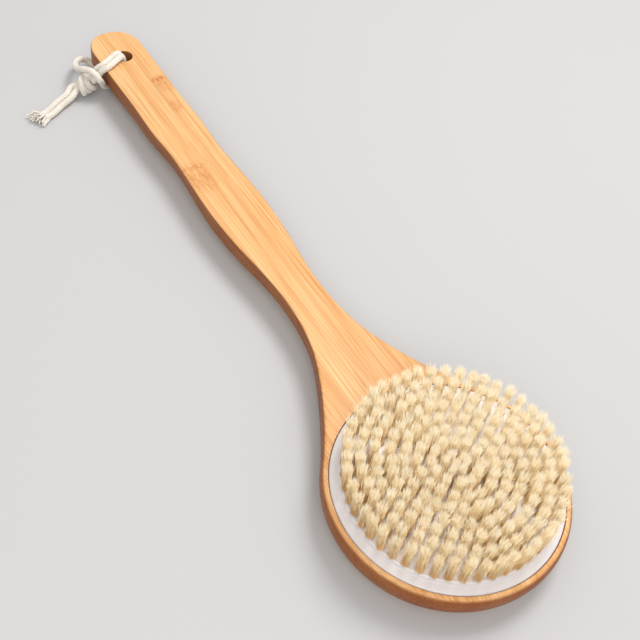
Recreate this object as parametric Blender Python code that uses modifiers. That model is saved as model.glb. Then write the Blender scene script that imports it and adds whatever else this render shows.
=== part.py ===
"""Body dry brush: a bamboo board, a plastic bristle plate set into its head, and a hanging cord.

X runs along the handle towards its end, Y across it and Z up. The brush lies on its back with
its bristles up, and z = 0 is the surface it lies on. Units are metres.
"""
import math

import bmesh
import bpy
from mathutils import Vector

# Board
LENGTH = 0.3535
HEAD_RADIUS = 0.048
FACE_HEIGHT = 0.016
FACE_ROUNDING = 0.0011
HEAD_X = HEAD_RADIUS - LENGTH / 2
NECK_ANGLE = math.radians(52)
END_LENGTH = 0.0155
END_POWER = 2.3
# Half width of the board at distances from the head's centre: neck, grip and hanging end.
HALF_WIDTHS = [
    (0.040, 0.0305), (0.050, 0.0245), (0.062, 0.0185), (0.076, 0.0131), (0.090, 0.0103),
    (0.105, 0.0094), (0.120, 0.0102), (0.140, 0.0125), (0.163, 0.0137), (0.182, 0.0131),
    (0.203, 0.0122), (0.224, 0.0131), (0.246, 0.0127), (0.268, 0.0130), (0.290, 0.0132),
]
# Height of the back at distances from the head's centre: the head lies flat, the grip is hollowed.
BACK_HEIGHTS = [
    (-0.048, 0.0), (0.034, 0.0), (0.048, 0.0008), (0.066, 0.0050), (0.090, 0.0060),
    (0.120, 0.0060), (0.145, 0.0050), (0.165, 0.0052), (0.190, 0.0068), (0.212, 0.0064),
    (0.236, 0.0049), (0.262, 0.0043), (0.3055, 0.0043),
]
HEAD_BACK_ROUNDING = (0.0095, 0.0120)
GRIP_BACK_ROUNDING = (0.0040, 0.0040)
ROUNDING_CHANGE = (0.020, 0.062)
HOLE_DISTANCE = 0.2834
HOLE_RADIUS = 0.0043

# Bristle plate and its seat
GAP = 0.0003
PLATE_RADIUS = 0.045
SEAT_RADIUS = PLATE_RADIUS + GAP
SEAT_FLOOR = FACE_HEIGHT - 0.0052
BED_THICKNESS = 0.0005
DISC_RADIUS = 0.0415
DISC_TOP = FACE_HEIGHT + 0.0022

# Tufts
TIP_HEIGHT = FACE_HEIGHT + 0.01885
RING_COUNTS = [6, 12, 18, 24, 30, 36, 42, 48]
RING_PITCH = 0.00518
FIRST_RING_RADIUS = 0.0036
TUFT_RADIUS = 0.0017
WEB_RADIUS = 0.0007
TIP_SPLAY = 0.0006
WEB_DROP = 0.0035

# Cord
CORD_RADIUS = 0.0015
CORD_STEPS = 74
TAIL_STEPS = 16

COLLECTION = bpy.data.collections.new("body_dry_brush")
CUTTERS = bpy.data.collections.new("cutters")


def clear_scene():
    for obj in list(bpy.data.objects):
        bpy.data.objects.remove(obj, do_unlink=True)
    for collection in (COLLECTION, CUTTERS):
        bpy.context.scene.collection.children.link(collection)


def material(name, colour, roughness, metallic=0.0):
    found = bpy.data.materials.get(name)
    if found:
        return found
    made = bpy.data.materials.new(name)
    made.use_nodes = True
    shader = made.node_tree.nodes["Principled BSDF"]
    shader.inputs["Base Color"].default_value = (*colour, 1.0)
    shader.inputs["Roughness"].default_value = roughness
    shader.inputs["Metallic"].default_value = metallic
    made.diffuse_color = (*colour, 1.0)
    return made


def bamboo():
    return material("bamboo", (0.80, 0.46, 0.20), 0.45)


def plastic():
    return material("white_plastic", (0.85, 0.82, 0.80), 0.25)


def adhesive():
    return material("adhesive", (0.75, 0.68, 0.50), 0.60)


def bristle():
    return material("boar_bristle", (0.88, 0.74, 0.48), 0.70)


def cotton():
    return material("cotton_cord", (0.88, 0.85, 0.80), 0.90)


def add_object(name, mesh, finish, collection=COLLECTION):
    obj = bpy.data.objects.new(name, mesh)
    collection.objects.link(obj)
    if finish:
        mesh.materials.append(finish)
    return obj


def mesh_from(name, points, faces):
    mesh = bpy.data.meshes.new(name)
    mesh.from_pydata(points, [], faces)
    shape = bmesh.new()
    shape.from_mesh(mesh)
    bmesh.ops.recalc_face_normals(shape, faces=shape.faces)
    shape.to_mesh(mesh)
    shape.free()
    return mesh


def shade(mesh, angle=40):
    mesh.shade_smooth()
    mesh.set_sharp_from_angle(angle=math.radians(angle))


def eased(stations, x, first_slope=None):
    """Smooth curve through (x, value) stations: cubic pieces with finite-difference slopes."""
    def slope(i):
        if i == 0:
            if first_slope is not None:
                return first_slope
            return (stations[1][1] - stations[0][1]) / (stations[1][0] - stations[0][0])
        if i == len(stations) - 1:
            return (stations[i][1] - stations[i - 1][1]) / (stations[i][0] - stations[i - 1][0])
        return (stations[i + 1][1] - stations[i - 1][1]) / (stations[i + 1][0] - stations[i - 1][0])

    k = 0
    while k < len(stations) - 2 and x > stations[k + 1][0]:
        k += 1
    (x0, y0), (x1, y1) = stations[k], stations[k + 1]
    span = x1 - x0
    t = min(max((x - x0) / span, 0.0), 1.0)
    return (
        (2 * t**3 - 3 * t**2 + 1) * y0 + (t**3 - 2 * t**2 + t) * span * slope(k)
        + (3 * t**2 - 2 * t**3) * y1 + (t**3 - t**2) * span * slope(k + 1)
    )


def half_outline(head_steps=16, grip_step=0.010, end_steps=9):
    """Points (distance from the head's centre, half width) from the head's far side to the end."""
    points = []
    for i in range(head_steps + 1):
        angle = math.pi + (NECK_ANGLE - math.pi) * i / head_steps
        points.append((HEAD_RADIUS * math.cos(angle), HEAD_RADIUS * math.sin(angle)))
    stations = [points[-1], *HALF_WIDTHS]
    start, stop = points[-1][0], HALF_WIDTHS[-1][0]
    steps = round((stop - start) / grip_step)
    for i in range(1, steps + 1):
        x = start + (stop - start) * i / steps
        points.append((x, eased(stations, x, first_slope=-1 / math.tan(NECK_ANGLE))))
    for i in range(1, end_steps + 1):
        angle = math.pi / 2 * (1 - i / end_steps)
        points.append((
            stop + END_LENGTH * math.cos(angle) ** (2 / END_POWER),
            HALF_WIDTHS[-1][1] * max(math.sin(angle), 0.0) ** (2 / END_POWER),
        ))
    points[0] = (points[0][0], 0.0)
    points[-1] = (points[-1][0], 0.0)
    return points


def outline():
    """The board's whole plan outline, counter-clockwise from the head's far side."""
    half = half_outline()
    return [(x, -y) for x, y in half] + [(x, y) for x, y in half[-2:0:-1]]


def outward(points, i):
    before, after = points[i - 1], points[(i + 1) % len(points)]
    along = Vector((after[0] - before[0], after[1] - before[1])).normalized()
    return Vector((along.y, -along.x))


def back_rounding(x):
    """How far the back edge is rounded inwards and upwards at a distance from the head."""
    start, stop = ROUNDING_CHANGE
    t = min(max((x - start) / (stop - start), 0.0), 1.0)
    t = t * t * (3 - 2 * t)
    return [a + (b - a) * t for a, b in zip(HEAD_BACK_ROUNDING, GRIP_BACK_ROUNDING)]


def board_loops():
    """Loops of the board's surface from the back up to the face, all with the outline's points."""
    plan = outline()
    loops = []
    for angle in (90, 66, 42, 20, 0):
        loop = []
        for i, (x, y) in enumerate(plan):
            inwards, upwards = back_rounding(x)
            normal = outward(plan, i)
            inset = inwards * (1 - math.cos(math.radians(angle)))
            back = max(eased(BACK_HEIGHTS, x), 0.0)
            height = back + upwards * (1 - math.sin(math.radians(angle)))
            loop.append((x - normal.x * inset, y - normal.y * inset, height))
        loops.append(loop)
    for angle in (0, 45, 90):
        inset = FACE_ROUNDING * (1 - math.cos(math.radians(angle)))
        height = FACE_HEIGHT - FACE_ROUNDING * (1 - math.sin(math.radians(angle)))
        loops.append([
            (x - outward(plan, i).x * inset, y - outward(plan, i).y * inset, height)
            for i, (x, y) in enumerate(plan)
        ])
    return loops


def board_mesh():
    loops = board_loops()
    count = len(loops[0])
    points = [(x + HEAD_X, y, z) for loop in loops for x, y, z in loop]
    faces = []
    for level in range(len(loops) - 1):
        for i in range(count):
            j = (i + 1) % count
            a, b = level * count, (level + 1) * count
            faces.append((a + i, a + j, b + j, b + i))
    half = count // 2
    top = (len(loops) - 1) * count
    for start in (0, top):
        for i in range(half):
            ring = [start + i, start + i + 1, start + (count - i - 1) % count, start + (count - i) % count]
            corners = list(dict.fromkeys(ring))
            faces.append(corners if start == top else corners[::-1])
    return mesh_from("bamboo_body", points, faces)


def cylinder_cutter(name, radius, low, high, x, segments):
    mesh = bpy.data.meshes.new(name)
    shape = bmesh.new()
    bmesh.ops.create_cone(
        shape, cap_ends=True, segments=segments, radius1=radius, radius2=radius, depth=high - low
    )
    shape.to_mesh(mesh)
    shape.free()
    cutter = add_object(name, mesh, None, CUTTERS)
    cutter.location = (x, 0.0, (low + high) / 2)
    cutter.hide_render = True
    cutter.display_type = "WIRE"
    return cutter


def turned(name, profile, segments, finish, x=HEAD_X, collection=COLLECTION):
    """Solid turned about an upright axis, from its profile's outer side run top to bottom."""
    mesh = bpy.data.meshes.new(name)
    mesh.from_pydata(
        [(radius, 0.0, height) for radius, height in profile],
        [(i, i + 1) for i in range(len(profile) - 1)],
        [],
    )
    obj = add_object(name, mesh, finish, collection)
    obj.location.x = x
    screw = obj.modifiers.new("Turn", "SCREW")
    screw.axis = "Z"
    screw.steps = screw.render_steps = segments
    screw.use_merge_vertices = True
    screw.merge_threshold = 0.00001
    screw.use_normal_calculate = False
    screw.use_smooth_shade = True
    return obj


def cut(obj, cutter):
    modifier = obj.modifiers.new(cutter.name, "BOOLEAN")
    modifier.operation = "DIFFERENCE"
    modifier.object = cutter
    modifier.solver = "EXACT"


def build_board():
    board = add_object("bamboo_body", board_mesh(), bamboo())
    shade(board.data)
    above = FACE_HEIGHT + 0.010
    cut(board, cylinder_cutter("plate_seat_cutter", SEAT_RADIUS, SEAT_FLOOR, above, HEAD_X, 72))
    hole_x = HEAD_X + HOLE_DISTANCE
    cut(board, cylinder_cutter("hang_hole_cutter", HOLE_RADIUS, -0.010, above, hole_x, 28))
    return board


def build_bed():
    low = SEAT_FLOOR + GAP
    radius = PLATE_RADIUS - 0.002
    profile = [(0, low + BED_THICKNESS), (radius, low + BED_THICKNESS), (radius, low), (0, low)]
    return turned("adhesive_bed", profile, 48, adhesive())


def build_plate():
    """The plate: a domed flange, a rounded step up and the flat disc that holds the tufts."""
    low = SEAT_FLOOR + 2 * GAP + BED_THICKNESS
    edge = FACE_HEIGHT
    profile = [
        (0, DISC_TOP),
        (DISC_RADIUS - 0.0010, DISC_TOP),
        (DISC_RADIUS - 0.0003, DISC_TOP - 0.0002),
        (DISC_RADIUS, DISC_TOP - 0.0007),
        (DISC_RADIUS + 0.0006, edge + 0.0010),
        (DISC_RADIUS + 0.0020, edge + 0.0009),
        (PLATE_RADIUS - 0.0008, edge + 0.0005),
        (PLATE_RADIUS, edge - 0.0003),
        (PLATE_RADIUS, low),
        (0, low),
    ]
    plate = turned("bristle_plate", profile, 72, plastic())
    return plate


def tuft_ring(name, radius, count):
    """One ring of tufts standing on the disc: a band that swells at each tuft and dips between."""
    low = DISC_TOP + GAP
    points = []
    steps = 2 * count
    for level in range(2):
        for side in (-1, 1):
            for i in range(steps):
                at_tuft = i % 2 == 0
                thickness = TUFT_RADIUS if at_tuft else WEB_RADIUS
                spread = radius + level * TIP_SPLAY * radius / 0.04 + side * thickness
                height = low if level == 0 else TIP_HEIGHT - (0 if at_tuft else WEB_DROP)
                angle = 2 * math.pi * i / steps
                points.append((spread * math.cos(angle), spread * math.sin(angle), height))
    faces = []
    inner_low, outer_low, inner_high, outer_high = (k * steps for k in range(4))
    for i in range(steps):
        j = (i + 1) % steps
        faces.append((outer_low + i, outer_low + j, outer_high + j, outer_high + i))
        faces.append((inner_low + j, inner_low + i, inner_high + i, inner_high + j))
        faces.append((outer_high + i, outer_high + j, inner_high + j, inner_high + i))
        faces.append((outer_low + j, outer_low + i, inner_low + i, inner_low + j))
    ring = add_object(name, mesh_from(name, points, faces), bristle())
    ring.location.x = HEAD_X
    return ring


def build_tufts():
    low = DISC_TOP + GAP
    profile = [
        (0, TIP_HEIGHT), (TUFT_RADIUS, TIP_HEIGHT - 0.0005), (TUFT_RADIUS * 0.85, low), (0, low)
    ]
    turned("centre_tuft", profile, 10, bristle())
    for i, count in enumerate(RING_COUNTS):
        tuft_ring(f"tuft_ring_{i + 1}", FIRST_RING_RADIUS + i * RING_PITCH, count)


def smooth_route(route, steps):
    """Evenly spaced points on the smooth curve through a route's points."""
    knots = [Vector(point) for point in route]
    ends = [2 * knots[0] - knots[1], *knots, 2 * knots[-1] - knots[-2]]
    fine = []
    for k in range(1, len(ends) - 2):
        a, b, c, d = ends[k - 1:k + 3]
        for i in range(24):
            t = i / 24
            fine.append(0.5 * (
                2 * b + (c - a) * t + (2 * a - 5 * b + 4 * c - d) * t * t
                + (3 * b - a - 3 * c + d) * t**3
            ))
    fine.append(knots[-1])
    lengths = [0.0]
    for a, b in zip(fine, fine[1:]):
        lengths.append(lengths[-1] + (b - a).length)
    points = []
    k = 0
    for i in range(steps + 1):
        target = lengths[-1] * i / steps
        while k < len(fine) - 2 and lengths[k + 1] < target:
            k += 1
        share = (target - lengths[k]) / (lengths[k + 1] - lengths[k])
        points.append(fine[k].lerp(fine[k + 1], min(max(share, 0.0), 1.0)))
    return points


def tube(name, route, steps):
    """A cord along a route given in millimetres from the head's centre."""
    curve = bpy.data.curves.new(name, "CURVE")
    curve.dimensions = "3D"
    curve.bevel_depth = CORD_RADIUS
    curve.bevel_resolution = 2
    curve.use_fill_caps = True
    line = curve.splines.new("POLY")
    points = smooth_route(route, steps)
    line.points.add(len(points) - 1)
    for spot, point in zip(line.points, points):
        spot.co = (point.x / 1000 + HEAD_X, point.y / 1000, point.z / 1000, 1.0)
    curve.materials.append(cotton())
    obj = bpy.data.objects.new(name, curve)
    COLLECTION.objects.link(obj)
    return obj


# Route of the hanging cord, in millimetres from the head's centre: from the knot over the
# face, down the hole, out under the board's corner, round as a loop over its own two runs,
# back under the board, up the hole and over the face to the knot again.
CORD_ROUTE = [
    (281.3, 17.6, 11.9), (280.1, 16.0, 15.0), (278.8, 13.0, 17.6), (281.0, 8.4, 18.1),
    (283.3, 4.2, 18.3), (284.7, 1.7, 16.3), (285.0, 0.9, 12.0), (285.0, 0.9, 7.5),
    (285.2, 1.6, 3.9), (286.0, 4.2, 1.9), (289.0, 6.7, 1.65), (293.5, 8.7, 1.65),
    (298.5, 10.0, 1.9), (302.2, 12.0, 3.4), (303.0, 14.8, 5.0), (301.2, 18.0, 6.3),
    (297.4, 20.8, 7.6), (292.4, 22.6, 9.3), (287.4, 22.7, 11.6), (283.0, 21.8, 14.2),
    (279.2, 20.2, 15.4), (275.6, 18.6, 14.8), (274.0, 17.6, 12.6), (274.8, 16.2, 10.0),
    (276.4, 15.1, 7.6), (278.4, 13.6, 4.6), (280.6, 10.6, 2.2), (281.6, 7.2, 1.65),
    (281.8, 4.2, 1.9), (281.8, 1.6, 3.9), (281.8, 0.9, 7.5), (281.8, 0.9, 12.0),
    (281.5, 1.5, 16.3), (280.4, 3.0, 18.2), (278.1, 7.0, 18.1), (275.6, 12.0, 17.7),
    (276.6, 15.1, 15.5), (277.8, 16.8, 12.2),
]
KNOT_CENTRE = (280.8, 21.9, 6.1)
KNOT_RADII = (5.3, 4.6, 5.8)
TAIL_ROUTES = {
    "cord_tail_a": [
        (284.0, 28.7, 4.8), (280.8, 33.2, 3.4), (278.3, 39.2, 2.2), (274.3, 46.1, 1.7),
        (272.9, 50.1, 1.65), (270.0, 55.9, 1.65),
    ],
    "cord_tail_b": [
        (281.0, 27.1, 4.8), (277.8, 31.6, 3.4), (275.3, 37.6, 2.2), (271.3, 44.5, 1.7),
        (269.9, 48.5, 1.65), (267.0, 54.3, 1.65),
    ],
}


def build_knot():
    """The overhand knot as a lumpy ball, pulled in a little between its turns."""
    mesh = bpy.data.meshes.new("cord_knot")
    shape = bmesh.new()
    bmesh.ops.create_uvsphere(shape, u_segments=20, v_segments=12, radius=1.0)
    for vertex in shape.verts:
        turn = math.atan2(vertex.co.z, vertex.co.x)
        lump = 1 - 0.05 * (1 - math.cos(3 * turn + 4 * vertex.co.y)) * (1 - vertex.co.y**2)
        vertex.co = Vector([c * r / 1000 * lump for c, r in zip(vertex.co, KNOT_RADII)])
    shape.to_mesh(mesh)
    shape.free()
    shade(mesh)
    knot = add_object("cord_knot", mesh, cotton())
    x, y, z = KNOT_CENTRE
    knot.location = (x / 1000 + HEAD_X, y / 1000, z / 1000)
    return knot


def build_cord():
    tube("hang_cord", CORD_ROUTE, CORD_STEPS)
    build_knot()
    for name, route in TAIL_ROUTES.items():
        tube(name, route, TAIL_STEPS)


def main():
    clear_scene()
    build_board()
    build_bed()
    build_plate()
    build_tufts()
    build_cord()


main()
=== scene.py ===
"""Looks of the body dry brush: bamboo board, plastic plate, natural tufts and knotted cotton cord.

The frame is the CAD model's own: X along the handle towards its end, Y towards the side where
the cord lies, Z up through the bristles, in metres.
"""
import math

import bmesh
import bpy
import numpy as np
from mathutils import Matrix, Vector


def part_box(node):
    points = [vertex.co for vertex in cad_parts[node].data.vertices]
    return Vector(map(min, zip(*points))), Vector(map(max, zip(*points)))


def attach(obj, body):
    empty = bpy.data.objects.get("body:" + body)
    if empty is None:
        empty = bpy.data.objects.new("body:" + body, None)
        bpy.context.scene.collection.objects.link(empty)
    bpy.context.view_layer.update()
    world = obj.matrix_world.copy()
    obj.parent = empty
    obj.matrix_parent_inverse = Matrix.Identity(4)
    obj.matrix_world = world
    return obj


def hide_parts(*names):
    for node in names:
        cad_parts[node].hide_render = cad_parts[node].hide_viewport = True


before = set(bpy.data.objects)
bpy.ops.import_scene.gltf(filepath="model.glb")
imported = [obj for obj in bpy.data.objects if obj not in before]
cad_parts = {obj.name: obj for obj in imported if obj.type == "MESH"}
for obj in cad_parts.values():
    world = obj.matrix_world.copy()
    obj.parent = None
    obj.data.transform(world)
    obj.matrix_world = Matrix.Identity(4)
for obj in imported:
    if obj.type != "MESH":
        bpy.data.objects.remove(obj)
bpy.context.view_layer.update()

MM = 0.001

# Sizes taken from the CAD model
board_low, board_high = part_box("bamboo_body")
plate_low, plate_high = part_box("bristle_plate")
FACE = board_high.z
HEAD_X = (plate_low.x + plate_high.x) / 2
HEAD_RADIUS = HEAD_X - board_low.x
PLATE_RADIUS = (plate_high.x - plate_low.x) / 2
PLATE_BOTTOM = plate_low.z
DISC_TOP = plate_high.z
TIP_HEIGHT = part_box("centre_tuft")[1].z


# ---------------------------------------------------------------- camera, floor and lights

# The camera's place from the centre of the head's face, its line of sight and its upright
CAMERA_PLACE = (-0.1178, 0.1748, 0.318)
LINE_OF_SIGHT = (0.4948, -0.4151, -0.7634)
CAMERA_UP = (0.6924, -0.3425, 0.6350)
FOCAL_LENGTH = 56.25
SENSOR_WIDTH = 36.0
NEAREST_SEEN = 0.01
FLOOR_REACH = 3.0
FLOOR_HEIGHT = -0.0002
FLOOR_COLOUR = (0.50, 0.50, 0.51, 1.0)
FLOOR_ROUGHNESS = 0.9
WORLD_COLOUR = (1.0, 0.985, 0.96, 1.0)
WORLD_STRENGTH = 0.74
LIGHT_COLOUR = (1.0, 0.98, 0.95)
LIGHT_TARGET = (0.0, 0.0, 0.01)
# Each light's place, diameter, and power in watts
LIGHTS = {
    "key": ((0.10, -0.42, 0.90), 0.42, 5.9),
    "fill": ((-0.60, 0.40, 0.75), 0.80, 3.8),
}


def build_camera():
    """The camera of the view: its place and line of sight over the board's face."""
    data = bpy.data.cameras.new("camera")
    data.lens = FOCAL_LENGTH
    data.sensor_width = SENSOR_WIDTH
    data.clip_start = NEAREST_SEEN
    camera = bpy.data.objects.new("camera", data)
    bpy.context.scene.collection.objects.link(camera)
    forward = Vector(LINE_OF_SIGHT).normalized()
    right = forward.cross(Vector(CAMERA_UP)).normalized()
    turn = Matrix((right, right.cross(forward), -forward)).transposed()
    along, aside, above = CAMERA_PLACE
    place = Matrix.Translation((HEAD_X + along, aside, FACE + above))
    camera.matrix_world = place @ turn.to_4x4()
    bpy.context.scene.camera = camera


def build_floor():
    mesh = bpy.data.meshes.new("floor")
    shape = bmesh.new()
    bmesh.ops.create_grid(shape, x_segments=1, y_segments=1, size=FLOOR_REACH)
    shape.to_mesh(mesh)
    shape.free()
    floor = bpy.data.objects.new("floor", mesh)
    floor.location.z = FLOOR_HEIGHT
    bpy.context.scene.collection.objects.link(floor)
    finish = bpy.data.materials.new("floor")
    finish.use_nodes = True
    shader = finish.node_tree.nodes["Principled BSDF"]
    shader.inputs["Base Color"].default_value = FLOOR_COLOUR
    shader.inputs["Roughness"].default_value = FLOOR_ROUGHNESS
    mesh.materials.append(finish)


def area_light(name, place, size, power):
    """A round light that faces the brush."""
    data = bpy.data.lights.new(name, "AREA")
    data.shape = "DISK"
    data.size = size
    data.energy = power
    data.color = LIGHT_COLOUR
    light = bpy.data.objects.new(name, data)
    light.location = place
    aim = Vector(LIGHT_TARGET) - Vector(place)
    light.rotation_euler = aim.to_track_quat("-Z", "Y").to_euler()
    bpy.context.scene.collection.objects.link(light)


def build_lights():
    world = bpy.data.worlds.new("studio")
    bpy.context.scene.world = world
    world.use_nodes = True
    background = world.node_tree.nodes["Background"]
    background.inputs["Color"].default_value = WORLD_COLOUR
    background.inputs["Strength"].default_value = WORLD_STRENGTH
    bpy.context.scene.view_settings.view_transform = "Standard"
    for name, (place, size, power) in LIGHTS.items():
        area_light(name, place, size, power)


# ---------------------------------------------------------------- materials

class Nodes:
    """A material's node tree, written one value at a time."""

    def __init__(self, name):
        self.material = bpy.data.materials.new(name)
        self.material.use_nodes = True
        self.tree = self.material.node_tree
        self.shader = self.tree.nodes["Principled BSDF"]
        self.coords = self.tree.nodes.new("ShaderNodeTexCoord").outputs["Object"]

    def put(self, socket, value):
        if isinstance(value, bpy.types.NodeSocket):
            self.tree.links.new(value, socket)
        else:
            socket.default_value = value

    def shade(self, **values):
        for name, value in values.items():
            self.put(self.shader.inputs[name.replace("_", " ")], value)

    def noise(self, scale, detail, roughness=0.5, distortion=0.0):
        """Noise whose cells are 1 / scale metres long on each axis."""
        stretch = self.tree.nodes.new("ShaderNodeMapping")
        self.put(stretch.inputs["Vector"], self.coords)
        stretch.inputs["Scale"].default_value = scale
        node = self.tree.nodes.new("ShaderNodeTexNoise")
        self.put(node.inputs["Vector"], stretch.outputs["Vector"])
        for name, value in (
            ("Scale", 1.0), ("Detail", detail), ("Roughness", roughness), ("Distortion", distortion)
        ):
            node.inputs[name].default_value = value
        return node.outputs["Fac"]

    def math(self, operation, a, b=0.0):
        node = self.tree.nodes.new("ShaderNodeMath")
        node.operation = operation
        for socket, value in zip(node.inputs, (a, b)):
            self.put(socket, value)
        return node.outputs[0]

    def ramp(self, value, low, high, start=0.0, stop=1.0, smooth=True):
        """Carries value from low..high over to start..stop."""
        node = self.tree.nodes.new("ShaderNodeMapRange")
        if smooth:
            node.interpolation_type = "SMOOTHSTEP"
        self.put(node.inputs["Value"], value)
        for name, number in (
            ("From Min", low), ("From Max", high), ("To Min", start), ("To Max", stop)
        ):
            node.inputs[name].default_value = number
        return node.outputs["Result"]

    def mix(self, share, a, b, blend="MIX"):
        """Colour a with a share of colour b, each a socket or (red, green, blue)."""
        node = self.tree.nodes.new("ShaderNodeMix")
        node.data_type = "RGBA"
        node.blend_type = blend
        self.put(node.inputs["Factor"], share)
        sockets = [s for s in node.inputs if s.type == "RGBA"]
        for socket, value in zip(sockets, (a, b)):
            self.put(socket, (*value, 1.0) if isinstance(value, tuple) else value)
        return [s for s in node.outputs if s.type == "RGBA"][0]

    def split(self):
        node = self.tree.nodes.new("ShaderNodeSeparateXYZ")
        self.put(node.inputs[0], self.coords)
        return node.outputs["X"], node.outputs["Y"], node.outputs["Z"]

    def bump(self, height, strength, distance):
        node = self.tree.nodes.new("ShaderNodeBump")
        node.inputs["Strength"].default_value = strength
        node.inputs["Distance"].default_value = distance
        self.put(node.inputs["Height"], height)
        self.put(self.shader.inputs["Normal"], node.outputs["Normal"])


# Width of a bamboo strip, how far the joint next to the middle lies from it, and the share of
# a strip's width over which a joint darkens
STRIP_WIDTH = 0.0205
STRIP_START = 0.0049
JOINT_SHARE = 0.012

# Node marks of the bamboo: distance from the head's centre, half length, middle across,
# half width and strength
NODE_MARKS = [
    (0.2590, 0.0030, -0.0080, 0.0042, 1.00),
    (0.2545, 0.0068, -0.0086, 0.0042, 0.55),
    (0.2370, 0.0050, -0.0064, 0.0030, 0.50),
    (0.1860, 0.0105, 0.0066, 0.0066, 0.60),
    (0.1925, 0.0030, 0.0066, 0.0064, 0.75),
]

BAMBOO = (0.68, 0.340, 0.118)
BAMBOO_PALE = (0.78, 0.460, 0.208)
BAMBOO_STREAK = (0.54, 0.215, 0.055)
BAMBOO_FIBRE = (0.50, 0.200, 0.052)
# Painted highlight: pale glints along the fibres
BAMBOO_FIBRE_PAINTED_GLINT = (0.90, 0.640, 0.360)
BAMBOO_PALE_STRIP = (0.84, 0.560, 0.290)
BAMBOO_JOINT = (0.50, 0.22, 0.07)
BAMBOO_NODE = (0.50, 0.185, 0.045)
# Painted shade: the colour that darkens the board's upright sides
BAMBOO_PAINTED_SIDE_SHADE = (0.38, 0.22, 0.12)


def node_marks(n, x, y):
    """Share of the dark node colour at each place: soft spots broken up by a mottle."""
    mottle = n.noise((330.0, 620.0, 500.0), 4.0, 0.65, 0.8)
    marks = 0.0
    for distance, half_length, middle, half_width, strength in NODE_MARKS:
        along = n.math("DIVIDE", n.math("SUBTRACT", x, HEAD_X + distance), half_length)
        across = n.math("DIVIDE", n.math("SUBTRACT", y, middle), half_width)
        far = n.math("ADD", n.math("POWER", along, 2.0), n.math("POWER", across, 4.0))
        mark = n.math("MULTIPLY", n.ramp(far, 0.0, 1.5, 1.0, 0.0), strength)
        marks = n.math("MAXIMUM", marks, mark)
    return n.math("MULTIPLY", marks, n.ramp(mottle, 0.36, 0.62, 0.15, 1.0))


def painted_side_shade_share(n):
    """Share of painted shade on the board: 1 on its upright sides and 0 on its flat faces."""
    facing = n.tree.nodes.new("ShaderNodeSeparateXYZ")
    n.put(facing.inputs[0], n.tree.nodes.new("ShaderNodeNewGeometry").outputs["Normal"])
    return n.ramp(n.math("ABSOLUTE", facing.outputs["Z"]), 0.93, 0.40)


def bamboo_material():
    """Flat-pressed bamboo: strips with their own tone, long fibres, node marks, painted glints on some
    fibres and painted shade on the upright sides.
    """
    n = Nodes("bamboo")
    x, y, _ = n.split()
    strips = n.math("DIVIDE", n.math("ADD", y, STRIP_START), STRIP_WIDTH)
    own_tone = n.tree.nodes.new("ShaderNodeTexWhiteNoise")
    own_tone.noise_dimensions = "1D"
    n.put(own_tone.inputs["W"], n.math("FLOOR", strips))
    edge = n.math("FRACT", strips)
    joint = n.math("MINIMUM", edge, n.math("SUBTRACT", 1.0, edge))
    broad = n.noise((4.0, 150.0, 70.0), 3.0, 0.55, 0.4)
    streak = n.noise((9.0, 420.0, 300.0), 4.0, 0.6, 0.2)
    fibre = n.noise((22.0, 1900.0, 1500.0), 2.0)
    colour = n.mix(n.ramp(broad, 0.32, 0.68), BAMBOO, BAMBOO_PALE)
    colour = n.mix(n.ramp(streak, 0.50, 0.70, 0.0, 0.72), colour, BAMBOO_STREAK)
    colour = n.mix(n.ramp(fibre, 0.49, 0.60, 0.0, 0.58), colour, BAMBOO_FIBRE)
    # Painted highlight: pale flecks along the fibres stand in for glints
    colour = n.mix(n.ramp(fibre, 0.40, 0.28, 0.0, 0.25), colour, BAMBOO_FIBRE_PAINTED_GLINT)
    colour = n.mix(n.ramp(own_tone.outputs["Value"], 0.0, 1.0, 0.0, 0.22), colour, BAMBOO_PALE_STRIP)
    colour = n.mix(n.ramp(joint, 0.0, JOINT_SHARE, 0.42, 0.0), colour, BAMBOO_JOINT)
    colour = n.mix(node_marks(n, x, y), colour, BAMBOO_NODE)
    # Painted shade: the upright sides are darkened as if they lay in shade
    colour = n.mix(painted_side_shade_share(n), colour, BAMBOO_PAINTED_SIDE_SHADE, "MULTIPLY")
    grain = n.math("ADD", n.math("MULTIPLY", streak, 0.5), fibre)
    n.shade(
        Base_Color=colour,
        Roughness=n.ramp(fibre, 0.3, 0.7, 0.38, 0.52),
        Specular_IOR_Level=0.30,
    )
    n.bump(grain, 0.25, 0.12 * MM)
    return n.material


def plate_material():
    """Slightly translucent white plastic with a faint cloudiness."""
    n = Nodes("white_plastic")
    cloud = n.noise((60.0, 60.0, 60.0), 3.0)
    fine = n.noise((900.0, 900.0, 900.0), 2.0)
    n.shade(
        Base_Color=n.mix(cloud, (0.70, 0.660, 0.665), (0.76, 0.725, 0.725)),
        Roughness=n.ramp(cloud, 0.3, 0.7, 0.14, 0.22),
        Subsurface_Weight=0.30,
        Subsurface_Radius=(0.005, 0.0045, 0.0042),
        Subsurface_Scale=1.0,
        IOR=1.49,
    )
    n.bump(fine, 0.12, 0.06 * MM)
    return n.material


# Root and tip colours are partly the bristle's own and partly painted: shade among the roots, light on the
# tips
BRISTLE_ROOT_TONE_AND_SHADE = (0.88, 0.530, 0.220)
BRISTLE_SHAFT = (0.99, 0.770, 0.440)
BRISTLE_TIP_TONE_AND_LIGHT = (1.0, 0.900, 0.680)
BRISTLE_DARK = (0.90, 0.620, 0.300)
BRISTLE_PALE = (1.0, 0.950, 0.800)


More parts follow.
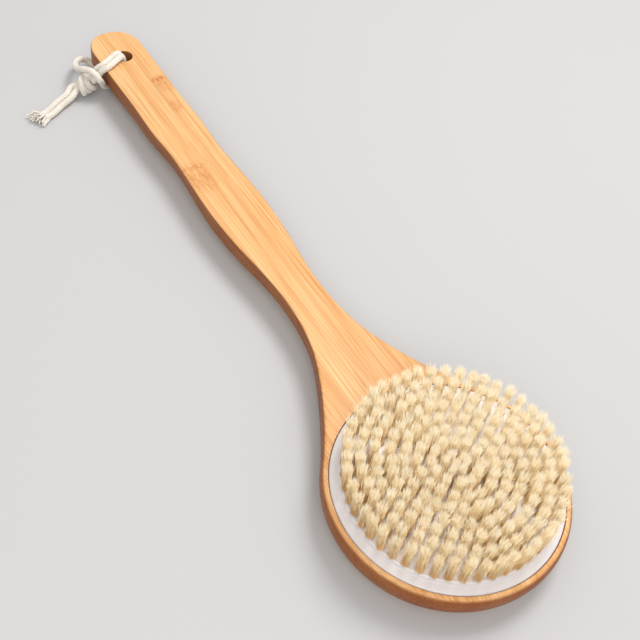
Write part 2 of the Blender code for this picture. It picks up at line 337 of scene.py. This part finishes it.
def bristle_material():
    """Boar bristle: ochre at its root, cream along it and near white at its flagged tip, partly painted
    shade at the root and painted light at the tip.
    """
    n = Nodes("boar_bristle")
    _, _, z = n.split()
    rise = n.ramp(z, DISC_TOP, TIP_HEIGHT, smooth=False)
    each = n.tree.nodes.new("ShaderNodeNewGeometry").outputs["Random Per Island"]
    uneven = n.noise((260.0, 260.0, 60.0), 2.0)
    rise = n.math("ADD", rise, n.ramp(uneven, 0.3, 0.7, -0.07, 0.07))
    # Darker ochre towards the roots and near white towards the tips: partly the bristle's own colour,
    # partly painted shade low among the tufts and painted light on the tips
    colour = n.mix(n.ramp(rise, 0.0, 0.55), BRISTLE_ROOT_TONE_AND_SHADE, BRISTLE_SHAFT)
    colour = n.mix(n.ramp(rise, 0.62, 0.92), colour, BRISTLE_TIP_TONE_AND_LIGHT)
    colour = n.mix(n.ramp(each, 0.72, 1.0, 0.0, 0.30), colour, BRISTLE_DARK)
    colour = n.mix(n.ramp(each, 0.25, 0.0, 0.0, 0.45), colour, BRISTLE_PALE)
    n.shade(
        Base_Color=colour,
        Roughness=0.50,
        Specular_IOR_Level=0.35,
    )
    return n.material


COTTON = (0.70, 0.640, 0.560)
COTTON_PALE = (0.78, 0.735, 0.665)
COTTON_FUZZ = (0.84, 0.805, 0.745)


def cotton_material():
    """Soft undyed cotton with pale fuzz."""
    n = Nodes("cotton")
    fuzz = n.noise((1500.0, 1500.0, 1500.0), 4.0, 0.65)
    patch = n.noise((190.0, 190.0, 190.0), 2.0)
    colour = n.mix(n.ramp(patch, 0.3, 0.7), COTTON, COTTON_PALE)
    colour = n.mix(n.ramp(fuzz, 0.35, 0.65, 0.0, 0.3), colour, COTTON_FUZZ)
    n.shade(
        Base_Color=colour,
        Roughness=0.92,
        Specular_IOR_Level=0.15,
        Sheen_Weight=0.35,
        Sheen_Roughness=0.5,
        Subsurface_Weight=0.2,
        Subsurface_Radius=(0.0008, 0.0007, 0.0006),
        Subsurface_Scale=1.0,
    )
    n.bump(fuzz, 0.5, 0.15 * MM)
    return n.material


def adhesive_material():
    """Cloudy, amber bed under the plate."""
    n = Nodes("adhesive")
    cloud = n.noise((120.0, 120.0, 120.0), 3.0)
    n.shade(
        Base_Color=n.mix(cloud, (0.66, 0.58, 0.42), (0.78, 0.71, 0.55)),
        Roughness=n.ramp(cloud, 0.3, 0.7, 0.45, 0.65),
    )
    return n.material


# ---------------------------------------------------------------- shared mesh work

def piece(name, mesh, finish, replaced=(), smooth_angle=35):
    """Adds a mesh as a piece that rides on the brush."""
    mesh.materials.append(finish)
    mesh.shade_smooth()
    if smooth_angle:
        mesh.set_sharp_from_angle(angle=math.radians(smooth_angle))
    obj = bpy.data.objects.new(name, mesh)
    bpy.context.scene.collection.objects.link(obj)
    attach(obj, "root")
    if replaced:
        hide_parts(*replaced)
    return obj


def mesh_of(name, points, faces):
    mesh = bpy.data.meshes.new(name)
    mesh.from_pydata([tuple(p) for p in points], [], faces)
    shape = bmesh.new()
    shape.from_mesh(mesh)
    bmesh.ops.recalc_face_normals(shape, faces=shape.faces)
    shape.to_mesh(mesh)
    shape.free()
    return mesh


def turned_mesh(name, profile, segments, x):
    """A closed solid of revolution about an upright axis, from (radius, height) points."""
    points, rings = [], []
    for radius, height in profile:
        if radius == 0:
            rings.append([len(points)])
            points.append((x, 0.0, height))
            continue
        rings.append(list(range(len(points), len(points) + segments)))
        for i in range(segments):
            angle = 2 * math.pi * i / segments
            points.append((x + radius * math.cos(angle), radius * math.sin(angle), height))
    faces = []
    for low, high in zip(rings, rings[1:]):
        for i in range(segments):
            j = (i + 1) % segments
            corners = [low[i % len(low)], low[j % len(low)], high[j % len(high)], high[i % len(high)]]
            faces.append(list(dict.fromkeys(corners)))
    return mesh_of(name, points, faces)


def arc(centre_radius, centre_height, radius, start, stop, steps):
    """Profile points on a quarter round or other arc, angles in degrees."""
    points = []
    for i in range(steps + 1):
        angle = math.radians(start + (stop - start) * i / steps)
        points.append((centre_radius + radius * math.cos(angle), centre_height + radius * math.sin(angle)))
    return points


# ---------------------------------------------------------------- bamboo board

# Lengths along the board are from the head's centre. A rounding is (inset, depth).
NECK_ANGLE = math.radians(52)
HEAD_FACE_ROUNDING = (0.0020, 0.0039)
GRIP_FACE_ROUNDING = (0.0011, 0.0011)
HEAD_BACK_ROUNDING = (0.0095, 0.0120)
GRIP_BACK_ROUNDING = (0.0040, 0.0040)
ROUNDING_CHANGE = (0.020, 0.062)
FACE_RIM = 0.0002
END_LENGTH = 0.0155
END_POWER = 2.3
HALF_WIDTHS = [
    (0.040, 0.0305), (0.050, 0.0245), (0.062, 0.0185), (0.076, 0.0131), (0.090, 0.0103),
    (0.105, 0.0094), (0.120, 0.0102), (0.140, 0.0125), (0.163, 0.0137), (0.182, 0.0131),
    (0.203, 0.0122), (0.224, 0.0131), (0.246, 0.0127), (0.268, 0.0130), (0.290, 0.0132),
]
BACK_HEIGHTS = [
    (-0.048, 0.0), (0.034, 0.0), (0.048, 0.0008), (0.066, 0.0050), (0.090, 0.0060),
    (0.120, 0.0060), (0.145, 0.0050), (0.165, 0.0052), (0.190, 0.0068), (0.212, 0.0064),
    (0.236, 0.0049), (0.262, 0.0043), (0.3055, 0.0043),
]
HOLE_DISTANCE = 0.2834
HOLE_RADIUS = 0.0043
HOLE_EDGE = 0.0007
SEAT_CLEARANCE = 0.00015
SEAT_DEEPER = 0.0005
SEAT_LIP = 0.00035
SEAT_ABOVE = 0.004
CUT_BEYOND = 0.003
SEAT_SIDES = 160
HOLE_SIDES = 72


def eased(stations, x, first_slope=None):
    """Smooth curve through (x, value) stations: cubic pieces with finite-difference slopes."""
    def slope(i):
        if i == 0:
            if first_slope is not None:
                return first_slope
            return (stations[1][1] - stations[0][1]) / (stations[1][0] - stations[0][0])
        if i == len(stations) - 1:
            return (stations[i][1] - stations[i - 1][1]) / (stations[i][0] - stations[i - 1][0])
        return (stations[i + 1][1] - stations[i - 1][1]) / (stations[i + 1][0] - stations[i - 1][0])

    k = 0
    while k < len(stations) - 2 and x > stations[k + 1][0]:
        k += 1
    (x0, y0), (x1, y1) = stations[k], stations[k + 1]
    span = x1 - x0
    t = min(max((x - x0) / span, 0.0), 1.0)
    return (
        (2 * t**3 - 3 * t**2 + 1) * y0 + (t**3 - 2 * t**2 + t) * span * slope(k)
        + (3 * t**2 - 2 * t**3) * y1 + (t**3 - t**2) * span * slope(k + 1)
    )


def board_outline(head_steps=72, grip_step=0.0025, end_steps=24):
    """The board's plan outline, counter-clockwise from the head's far side."""
    half = []
    for i in range(head_steps + 1):
        angle = math.pi + (NECK_ANGLE - math.pi) * i / head_steps
        half.append((HEAD_RADIUS * math.cos(angle), HEAD_RADIUS * math.sin(angle)))
    stations = [half[-1], *HALF_WIDTHS]
    start, stop = half[-1][0], HALF_WIDTHS[-1][0]
    steps = round((stop - start) / grip_step)
    for i in range(1, steps + 1):
        x = start + (stop - start) * i / steps
        half.append((x, eased(stations, x, first_slope=-1 / math.tan(NECK_ANGLE))))
    for i in range(1, end_steps + 1):
        angle = math.pi / 2 * (1 - i / end_steps)
        half.append((
            stop + END_LENGTH * math.cos(angle) ** (2 / END_POWER),
            HALF_WIDTHS[-1][1] * max(math.sin(angle), 0.0) ** (2 / END_POWER),
        ))
    half[0] = (half[0][0], 0.0)
    half[-1] = (half[-1][0], 0.0)
    return [(x, -y) for x, y in half] + [(x, y) for x, y in half[-2:0:-1]]


def outward(points, i):
    before, after = points[i - 1], points[(i + 1) % len(points)]
    along = Vector((after[0] - before[0], after[1] - before[1])).normalized()
    return along.y, -along.x


def rounding(x, on_head, on_grip):
    """(inset, depth) of a rounded edge, which changes over the neck."""
    start, stop = ROUNDING_CHANGE
    t = min(max((x - start) / (stop - start), 0.0), 1.0)
    t = t * t * (3 - 2 * t)
    return [a + (b - a) * t for a, b in zip(on_head, on_grip)]


def back_rounding(x):
    return rounding(x, HEAD_BACK_ROUNDING, GRIP_BACK_ROUNDING)


def face_rounding(x):
    return rounding(x, HEAD_FACE_ROUNDING, GRIP_FACE_ROUNDING)


def board_mesh():
    plan = board_outline()
    normals = [outward(plan, i) for i in range(len(plan))]
    count = len(plan)
    loops = []

    def add_loop(inset_of, height_of):
        loops.append([
            (HEAD_X + x - nx * inset_of(x), y - ny * inset_of(x), height_of(x))
            for (x, y), (nx, ny) in zip(plan, normals)
        ])

    def back(x):
        return max(eased(BACK_HEIGHTS, x), 0.0)

    for i in range(11):
        angle = math.radians(90 - 9 * i)
        add_loop(
            lambda x, a=angle: back_rounding(x)[0] * (1 - math.cos(a)),
            lambda x, a=angle: back(x) + back_rounding(x)[1] * (1 - math.sin(a)),
        )
    for i in range(9):
        angle = math.radians(11.25 * i)
        add_loop(
            lambda x, a=angle: face_rounding(x)[0] * (1 - math.cos(a)),
            lambda x, a=angle: FACE - face_rounding(x)[1] * (1 - math.sin(a)),
        )
    add_loop(lambda x: face_rounding(x)[0] + FACE_RIM, lambda x: FACE)
    points = [p for loop in loops for p in loop]
    faces = []
    for level in range(len(loops) - 1):
        a, b = level * count, (level + 1) * count
        for i in range(count):
            j = (i + 1) % count
            faces.append((a + i, a + j, b + j, b + i))
    half = count // 2
    for i in range(half):
        ring = [i, i + 1, (count - i - 1) % count, (count - i) % count]
        faces.append(list(dict.fromkeys(ring))[::-1])
    faces.append([(len(loops) - 1) * count + i for i in range(count)])
    return mesh_of("bamboo_board", points, faces)


def cutter(mesh):
    obj = bpy.data.objects.new(mesh.name, mesh)
    bpy.context.scene.collection.objects.link(obj)
    return obj


def seat_cutter():
    """Cuts the plate's seat, with a slightly broken edge."""
    seat = PLATE_RADIUS + SEAT_CLEARANCE
    bottom, above = PLATE_BOTTOM - SEAT_DEEPER, FACE + SEAT_ABOVE
    profile = [(0, bottom), (seat, bottom), (seat, FACE - SEAT_LIP)]
    profile += arc(seat + SEAT_LIP, FACE - SEAT_LIP, SEAT_LIP, 180, 90, 4)[1:]
    profile += [(seat + SEAT_LIP, above), (0, above)]
    return cutter(turned_mesh("seat_cutter", profile, SEAT_SIDES, HEAD_X))


def hole_cutter():
    """Cuts the hang hole, with a rounded edge on both sides."""
    back = eased(BACK_HEIGHTS, HOLE_DISTANCE)
    mouth = HOLE_RADIUS + HOLE_EDGE
    profile = [(0, back - CUT_BEYOND), (mouth, back - CUT_BEYOND)]
    profile += arc(mouth, back + HOLE_EDGE, HOLE_EDGE, 270, 180, 5)
    profile += arc(mouth, FACE - HOLE_EDGE, HOLE_EDGE, 180, 90, 5)
    profile += [(mouth, FACE + CUT_BEYOND), (0, FACE + CUT_BEYOND)]
    return cutter(turned_mesh("hole_cutter", profile, HOLE_SIDES, HEAD_X + HOLE_DISTANCE))


def build_board(finish):
    """The board with its plate seat and its hang hole."""
    obj = bpy.data.objects.new("bamboo_board_blank", board_mesh())
    bpy.context.scene.collection.objects.link(obj)
    cutters = [seat_cutter(), hole_cutter()]
    for tool in cutters:
        modifier = obj.modifiers.new(tool.name, "BOOLEAN")
        modifier.operation = "DIFFERENCE"
        modifier.object = tool
        modifier.solver = "EXACT"
    bpy.context.view_layer.update()
    mesh = bpy.data.meshes.new_from_object(obj.evaluated_get(bpy.context.evaluated_depsgraph_get()))
    for old in [obj, *cutters]:
        bpy.data.objects.remove(old, do_unlink=True)
    mesh.materials.clear()
    mesh.name = "bamboo_board"
    piece("bamboo_board", mesh, finish, ["bamboo_body"], 28)


# ---------------------------------------------------------------- bristle plate

DISC_RADIUS = 0.0415
DISC_DISH = 0.00026
CREST = 0.0007
PLATE_SIDES = 192
RING_COUNTS = [6, 12, 18, 24, 30, 36, 42, 48]
# About where the first ring of tufts stands, and how far apart the rings are
FIRST_RING = 0.0036
RING_SPACING = 0.00518
# How far a tuft reaches from its middle, and how much further its tip leans at SPLAY_RADIUS
TUFT_REACH = 0.0017
TIP_SPLAY = 0.0006
SPLAY_RADIUS = 0.04
# Raised rim round each tuft's hole, as (radius, height) in mm above the dished disc
RIM_PROFILE = [(2.00, -0.10), (1.88, 0.08), (1.72, 0.14), (1.58, 0.08), (1.48, -0.10)]
RIM_SIDES = 14


def tuft_places():
    """(node name, [(x, y) of each tuft from the head's centre, ...]) of the centre and the rings."""
    rings = [("centre_tuft", [(0.0, 0.0)])]
    for k, count in enumerate(RING_COUNTS):
        name = f"tuft_ring_{k + 1}"
        low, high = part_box(name)
        splay = TIP_SPLAY * (FIRST_RING + k * RING_SPACING) / SPLAY_RADIUS
        radius = (high.x - low.x) / 2 - TUFT_REACH - splay
        angles = [2 * math.pi * i / count for i in range(count)]
        rings.append((name, [(radius * math.cos(a), radius * math.sin(a)) for a in angles]))
    return rings


def plate_profile():
    """Domed flange, rounded step with a bright crest, and the slightly dished disc."""
    top = DISC_TOP
    profile = [
        (0, PLATE_BOTTOM),
        (PLATE_RADIUS - 0.0003, PLATE_BOTTOM),
        (PLATE_RADIUS, PLATE_BOTTOM + 0.0003),
        (PLATE_RADIUS, FACE - 0.0007),
    ]
    profile += arc(PLATE_RADIUS - 0.0009, FACE - 0.0007, 0.0009, 12, 70, 5)
    profile += [
        (PLATE_RADIUS - 0.0014, FACE + 0.00038),
        (PLATE_RADIUS - 0.0020, FACE + 0.00062),
        (DISC_RADIUS + 0.0009, FACE + 0.00072),
        (DISC_RADIUS + 0.0004, FACE + 0.00085),
        (DISC_RADIUS + 0.00012, FACE + 0.0011),
    ]
    profile += arc(DISC_RADIUS - CREST, top - CREST, CREST, 0, 90, 7)
    profile += [
        (DISC_RADIUS - CREST - 0.0004, top - 0.00018),
        (DISC_RADIUS - 0.0014, top - DISC_DISH),
        (0, top - DISC_DISH),
    ]
    return profile


def rims_mesh():
    """A raised rim round the hole of each tuft."""
    points, faces = [], []
    for x, y in [place for _, places in tuft_places() for place in places]:
        first = len(points)
        for radius, height in RIM_PROFILE:
            for i in range(RIM_SIDES):
                angle = 2 * math.pi * i / RIM_SIDES
                points.append((
                    HEAD_X + x + radius * MM * math.cos(angle),
                    y + radius * MM * math.sin(angle),
                    DISC_TOP - DISC_DISH + height * MM,
                ))
        for level in range(len(RIM_PROFILE)):
            a = first + level * RIM_SIDES
            b = first + (level + 1) % len(RIM_PROFILE) * RIM_SIDES
            for i in range(RIM_SIDES):
                j = (i + 1) % RIM_SIDES
                faces.append((a + i, a + j, b + j, b + i))
    return mesh_of("tuft_hole_rims", points, faces)


def build_plate(finish):
    plate = turned_mesh("plate", plate_profile(), PLATE_SIDES, HEAD_X)
    piece("plate", plate, finish, ["bristle_plate"], 50)
    piece("tuft_hole_rims", rims_mesh(), finish, (), 60)


# ---------------------------------------------------------------- tufts

BRISTLES = 92
ROOT_SPREAD = 1.50 * MM
TIP_SPREAD = 2.35 * MM
# Shaft of a bristle: (share of its length, share of its radius)
SHAFT = ((0.0, 1.0), (0.42, 0.92), (0.78, 0.72))
SHAFT_RADIUS = 0.112 * MM
FLAG_RADIUS = 0.044 * MM
SIDES = 3
GOLDEN_ANGLE = 2.39996
# The centre tuft is tighter than the rest
CENTRE_RADIUS = 0.005
CENTRE_SHARE = 0.70
STRAY_CHANCE = 0.03
OUTER_STRAY_CHANCE = 0.018
NORMAL_LIFT = 0.68
TUFT_SEED = 21


class Bristles:
    """Collects tapered, slightly bent bristles with split tips into one mesh."""

    def __init__(self):
        self.points = []
        self.faces = []

    def ring(self, centre, radius, turn):
        first = len(self.points)
        for s in range(SIDES):
            angle = turn + 2 * math.pi * s / SIDES
            self.points.append((
                centre[0] + radius * math.cos(angle), centre[1] + radius * math.sin(angle), centre[2]
            ))
        return first

    def spike(self, first, tip):
        self.points.append(tuple(tip))
        last = len(self.points) - 1
        for s in range(SIDES):
            self.faces.append((first + s, first + (s + 1) % SIDES, last))

    def add(self, root, tip, bend, radius, turn, flags):
        """flags are the offsets of the bristle's split ends from its tip."""
        previous = None
        for share, size in SHAFT:
            centre = root + (tip - root) * share + bend * (share * (1 - share) * 4)
            first = self.ring(centre, radius * size, turn)
            if previous is None:
                self.faces.append((first + 2, first + 1, first))
            else:
                for s in range(SIDES):
                    t = (s + 1) % SIDES
                    self.faces.append((previous + s, previous + t, first + t, first + s))
            previous = first
        self.spike(previous, tip)
        for offset in flags:
            first = self.ring(centre + bend * 0.02, FLAG_RADIUS, turn + 1.0)
            self.faces.append((first + 2, first + 1, first))
            self.spike(first, tip + offset)

    def mesh(self, name):
        mesh = bpy.data.meshes.new(name)
        mesh.from_pydata(self.points, [], self.faces)
        return mesh


def lift_normals(mesh, share):
    """Turns the bristles' shading normals part of the way up, as light spreads inside a tuft."""
    normals = np.empty(len(mesh.vertices) * 3, dtype=np.float32)
    mesh.vertices.foreach_get("normal", normals)
    normals = normals.reshape(-1, 3) * (1 - share) + np.array([0.0, 0.0, share])
    normals /= np.linalg.norm(normals, axis=1, keepdims=True)
    mesh.normals_split_custom_set_from_vertices(normals)


def add_tuft(bristles, x, y, rng, outer):
    """One tuft: bristles packed in their hole that spread towards their tips."""
    out = np.array([x, y])
    distance = np.linalg.norm(out)
    out = out / distance if distance > 0 else out
    lean = out * TIP_SPLAY * distance / SPLAY_RADIUS + rng.normal(0, 0.48 * MM, 2)
    tight = CENTRE_SHARE if distance < CENTRE_RADIUS else 1.0
    height = TIP_HEIGHT - 0.25 * MM + rng.normal(0, 0.12 * MM)
    for k in range(BRISTLES):
        share = math.sqrt((k + 0.5) / BRISTLES)
        angle = k * GOLDEN_ANGLE + rng.uniform(-0.25, 0.25)
        around = np.array([math.cos(angle), math.sin(angle)])
        root = np.array([HEAD_X + x, y, DISC_TOP - 0.3 * MM])
        root[:2] += around * share * ROOT_SPREAD * tight
        tip = np.array([HEAD_X + x + lean[0], y + lean[1], height])
        spread = around * share * TIP_SPREAD * tight * rng.uniform(0.70, 1.15)
        tip[:2] += spread + rng.normal(0, 0.30 * MM, 2)
        tip[2] -= share**2 * 0.8 * MM + abs(rng.normal(0, 1.15 * MM))
        if rng.random() < STRAY_CHANCE:
            tip[:2] += rng.normal(0, 1.1 * MM, 2)
            tip[2] -= rng.uniform(0.0, 2.0) * MM
        if outer and rng.random() < OUTER_STRAY_CHANCE:
            tip[:2] += out * rng.uniform(1.5, 4.0) * MM
            tip[2] -= rng.uniform(1.0, 3.5) * MM
        bend = np.append(rng.normal(0, 0.20 * MM, 2) - around * share * 0.18 * MM, 0.0)
        flags = [np.append(rng.normal(0, 0.34 * MM, 2), rng.uniform(-0.9, 0.15) * MM) for _ in range(2)]
        radius = SHAFT_RADIUS * rng.uniform(0.8, 1.2)
        bristles.add(root, tip, bend, radius, rng.uniform(0, 6.28), flags)


def build_tufts(finish):
    rng = np.random.default_rng(TUFT_SEED)
    for node, places in tuft_places():
        bristles = Bristles()
        for x, y in places:
            jitter = rng.normal(0, 0.10 * MM, 2)
            add_tuft(bristles, x + jitter[0], y + jitter[1], rng, node == "tuft_ring_8")
        name = "bristles_" + node
        obj = piece(name, bristles.mesh(name), finish, [node], 0)
        lift_normals(obj.data, NORMAL_LIFT)


# ---------------------------------------------------------------- cord

# Routes are in mm along, across and up, with the length from the head's centre
CORD_DIAMETER = 0.0032
CORD_ROUTE = [
    (281.3, 17.6, 11.9), (280.1, 16.0, 15.0), (278.8, 13.0, 17.6), (281.0, 8.4, 18.1),
    (283.3, 4.2, 18.3), (284.7, 1.7, 16.3), (285.0, 0.9, 12.0), (285.0, 0.9, 7.5),
    (285.2, 1.6, 3.9), (286.0, 4.2, 1.9), (289.0, 6.7, 1.65), (293.5, 8.7, 1.65),
    (298.5, 10.0, 1.9), (302.2, 12.0, 3.4), (303.0, 14.8, 5.0), (301.2, 18.0, 6.3),
    (297.4, 20.8, 7.6), (292.4, 22.6, 9.3), (287.4, 22.7, 11.6), (283.0, 21.8, 14.2),
    (279.2, 20.2, 15.4), (275.6, 18.6, 14.8), (274.0, 17.6, 12.6), (274.8, 16.2, 10.0),
    (276.4, 15.1, 7.6), (278.4, 13.6, 4.6), (280.6, 10.6, 2.2), (281.6, 7.2, 1.65),
    (281.8, 4.2, 1.9), (281.8, 1.6, 3.9), (281.8, 0.9, 7.5), (281.8, 0.9, 12.0),
    (281.5, 1.5, 16.3), (280.4, 3.0, 18.2), (278.1, 7.0, 18.1), (275.6, 12.0, 17.7),
    (276.6, 15.1, 15.5), (277.8, 16.8, 12.2),
]
RUN_ENDS = [(281.2, 19.9, 8.2), (279.3, 19.2, 8.4)]
TAIL_START = (281.2, 24.0, 6.0)
TAIL_ROUTES = {
    "cord_tail_a": [
        (284.0, 28.7, 4.8), (280.8, 33.2, 3.4), (278.3, 39.2, 2.2), (274.3, 46.1, 1.7),
        (272.9, 50.1, 1.65), (270.0, 55.9, 1.65),
    ],
    "cord_tail_b": [
        (281.0, 27.1, 4.8), (277.8, 31.6, 3.4), (275.3, 37.6, 2.2), (271.3, 44.5, 1.7),
        (269.9, 48.5, 1.65), (267.0, 54.3, 1.65),
    ],
}
RING_STEP = 0.00028
CORD_SIDES = 28
BRAID_STARTS = 8
BRAID_PITCH = 0.0085
BRAID_GROOVE = 0.70
BRAID_FLOOR = 0.78
BRAID_RELIEF = 0.23
CORD_SEED = 7

# The knot: its axis and the side that faces the camera, and in mm its half length, the radius
# of its coil and how far the band stands out over it
KNOT_AXIS = (0.235, 0.80, -0.55)
KNOT_FRONT = (-0.74, 0.28, 0.61)
KNOT_HALF = 3.3
COIL_RADIUS = 3.0
BAND_LIFT = 1.3
COIL_STEPS = 66
BAND_STEPS = 18

YARNS = 11
YARN_STEP = 0.0003
YARN_SIDES = 14
FRAY_SPREAD = 3.3


def route_point(point):
    return Vector((point[0] * MM + HEAD_X, point[1] * MM, point[2] * MM))


def smooth_route(knots, step):
    """Evenly spaced points on the smooth curve through a route's points."""
    ends = [2 * knots[0] - knots[1], *knots, 2 * knots[-1] - knots[-2]]
    fine = []
    for k in range(1, len(ends) - 2):
        a, b, c, d = ends[k - 1:k + 3]
        for i in range(24):
            t = i / 24
            fine.append(0.5 * (
                2 * b + (c - a) * t + (2 * a - 5 * b + 4 * c - d) * t * t
                + (3 * b - a - 3 * c + d) * t**3
            ))
    fine.append(knots[-1])
    lengths = [0.0]
    for a, b in zip(fine, fine[1:]):
        lengths.append(lengths[-1] + (b - a).length)
    steps = max(2, round(lengths[-1] / step))
    points, k = [], 0
    for i in range(steps + 1):
        target = lengths[-1] * i / steps
        while k < len(fine) - 2 and lengths[k + 1] < target:
            k += 1
        share = (target - lengths[k]) / (lengths[k + 1] - lengths[k])
        points.append(fine[k].lerp(fine[k + 1], min(max(share, 0.0), 1.0)))
    return points


def length_of(points):
    return sum((b - a).length for a, b in zip(points, points[1:]))


def sweep(path, radius_at, sides):
    """Points and faces of a tube along path, whose radius is radius_at(distance, angle)."""
    points, faces = [], []
    normal, travelled = None, 0.0
    for i, centre in enumerate(path):
        before, after = path[max(i - 1, 0)], path[min(i + 1, len(path) - 1)]
        along = (after - before).normalized()
        if normal is None:
            normal = along.orthogonal().normalized()
        normal = (normal - along * normal.dot(along)).normalized()
        side = along.cross(normal)
        if i:
            travelled += (centre - path[i - 1]).length
        for s in range(sides):
            angle = 2 * math.pi * s / sides
            reach = radius_at(travelled, angle)
            points.append(centre + (normal * math.cos(angle) + side * math.sin(angle)) * reach)
    for i in range(len(path) - 1):
        for s in range(sides):
            t = (s + 1) % sides
            faces.append((i * sides + s, i * sides + t, (i + 1) * sides + t, (i + 1) * sides + s))
    faces.append(list(range(sides))[::-1])
    faces.append([(len(path) - 1) * sides + s for s in range(sides)])
    return points, faces


def braid(distance, angle):
    """Radius of a braided cord: two sets of strands that pass over and under each other."""
    turn = 2 * math.pi * distance / BRAID_PITCH
    right = math.cos(BRAID_STARTS / 2 * (angle + turn / 2))
    left = math.cos(BRAID_STARTS / 2 * (angle - turn / 2))
    over = (max(abs(right), abs(left)) - BRAID_GROOVE) / 0.30
    return CORD_DIAMETER / 2 * (BRAID_FLOOR + BRAID_RELIEF * max(over, 0.0) ** 0.7)


def build_cord_run(name, route, finish, replaced):
    path = smooth_route([route_point(p) for p in route], RING_STEP)
    points, faces = sweep(path, braid, CORD_SIDES)
    obj = piece(name, mesh_of(name, points, faces), finish, replaced, 0)
    return obj, path


def build_knot(finish):
    """The tight knot: nearly three turns round the cord's axis and a band back over them."""
    low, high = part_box("cord_knot")
    centre = (low + high) / 2
    along = Vector(KNOT_AXIS).normalized()
    front = Vector(KNOT_FRONT)
    front = (front - along * front.dot(along)).normalized()
    rise = along.cross(front)
    rise = rise if rise.z > 0 else -rise

    def spot(angle, distance, radius):
        turn = math.radians(angle)
        away = front * math.cos(turn) + rise * math.sin(turn)
        return centre + (along * distance + away * radius) * MM

    knots = []
    for i in range(COIL_STEPS + 1):
        angle = -70 - 900 * (1 - i / COIL_STEPS)
        knots.append(spot(angle, -KNOT_HALF + 2 * KNOT_HALF * i / COIL_STEPS, COIL_RADIUS))
    for i in range(1, BAND_STEPS + 1):
        radius = COIL_RADIUS + BAND_LIFT * math.sin(math.pi * i / BAND_STEPS) ** 0.5
        knots.append(spot(-70 + 15 * i, KNOT_HALF - 2 * KNOT_HALF * i / BAND_STEPS, radius))
    points, faces = sweep(smooth_route(knots, RING_STEP), braid, CORD_SIDES)
    return piece("knot", mesh_of("knot", points, faces), finish, ["cord_knot"], 0)


def build_fray(name, path, finish, rng):
    """Loose yarns that fan out of a tail's cut end, thick and curled, each of finer plies."""
    start = path[-1]
    along = (path[-1] - path[-8]).normalized()
    side = along.cross(Vector((0, 0, 1))).normalized()
    up = side.cross(along)
    points, faces = [], []
    for k in range(YARNS):
        angle = 2 * math.pi * k / YARNS + rng.uniform(-0.25, 0.25)
        spread = rng.uniform(0.55, 1.0) * FRAY_SPREAD
        away = side * math.cos(angle) + up * max(math.sin(angle), -0.2)
        root = start - along * 2.6 * MM + away * 0.75 * MM
        reach = rng.uniform(6.0, 9.0) * MM
        curl = rng.uniform(-1.0, 1.0) * 0.9 * MM
        knots = [root]
        for i in (1, 2, 3, 4):
            share = i / 4
            spot = root + along * reach * share + away * spread * share**1.4 * MM
            spot += side * curl * math.sin(math.pi * share * 1.3) + up * rng.normal(0, 0.15) * MM
            spot.z = min(max(spot.z, 0.00065), 0.0050)
            knots.append(spot)
        run = smooth_route(knots, YARN_STEP)
        total = length_of(run)
        thickness = rng.uniform(0.50, 0.66) * MM
        more, sides = sweep(
            run,
            lambda d, a: thickness * (0.84 + 0.16 * math.cos(3 * (a + d * 1700))) * (
                1.0 - 0.55 * max(d / total - 0.82, 0.0) / 0.18
            ),
            YARN_SIDES,
        )
        first = len(points)
        points += more
        faces += [[first + c for c in face] for face in sides]
    return piece(name, mesh_of(name, points, faces), finish, (), 0)


def build_cord(finish):
    route = [RUN_ENDS[0], *CORD_ROUTE, RUN_ENDS[1]]
    run, path = build_cord_run("cord_loop", route, finish, ["hang_cord"])
    knot = build_knot(finish)
    rng = np.random.default_rng(CORD_SEED)
    tails, frays = [], []
    for name, tail_points in TAIL_ROUTES.items():
        tail_route = [TAIL_START, *tail_points[:-1]]
        tail, tail_path = build_cord_run("braid_" + name, tail_route, finish, [name])
        tails.append(tail)
        frays.append(build_fray("fray_" + name, tail_path, finish, rng))


# ---------------------------------------------------------------- the whole brush

def main():
    build_camera()
    cotton = cotton_material()
    build_cord(cotton)
    build_floor()
    build_lights()
    build_board(bamboo_material())
    build_plate(plate_material())
    build_tufts(bristle_material())
    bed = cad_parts["adhesive_bed"]
    bed.data.materials.clear()
    bed.data.materials.append(adhesive_material())


main()
